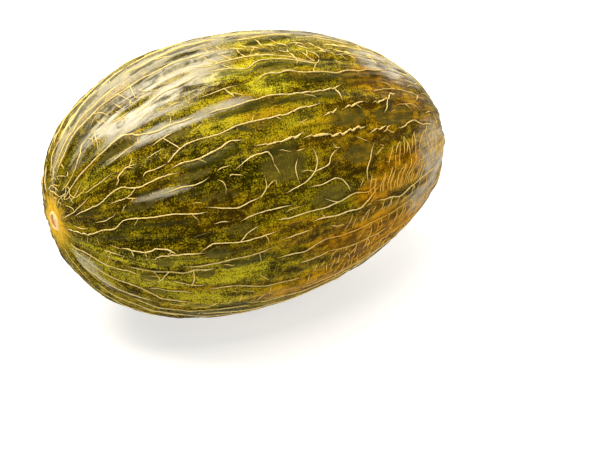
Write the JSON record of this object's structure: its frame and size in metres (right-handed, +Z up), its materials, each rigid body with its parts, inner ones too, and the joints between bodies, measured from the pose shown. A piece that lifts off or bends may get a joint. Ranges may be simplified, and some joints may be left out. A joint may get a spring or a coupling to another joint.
{
  "type": "piel de sapo melon",
  "caption": "Whole piel de sapo melon lying on its side: egg-shaped dark green fruit, shallow lengthwise furrows, raised corky net, rimmed stem scar and small blossom scar.",
  "frame": {"origin": "middle of the underside, on the small flat spot the fruit lies on, under the centre of its length and width", "axes": "+X along the fruit's length from the stem scar to the blossom scar, +Z up, so the side seen first is -Y"},
  "size_m": [0.2612, 0.1808, 0.1649],
  "materials": {
    "rind": "satin, waxy green rind with a dull cream-coloured corky net"
  },
  "bodies": {
    "root": {"melon": "rind"}
  },
  "joints": []
}
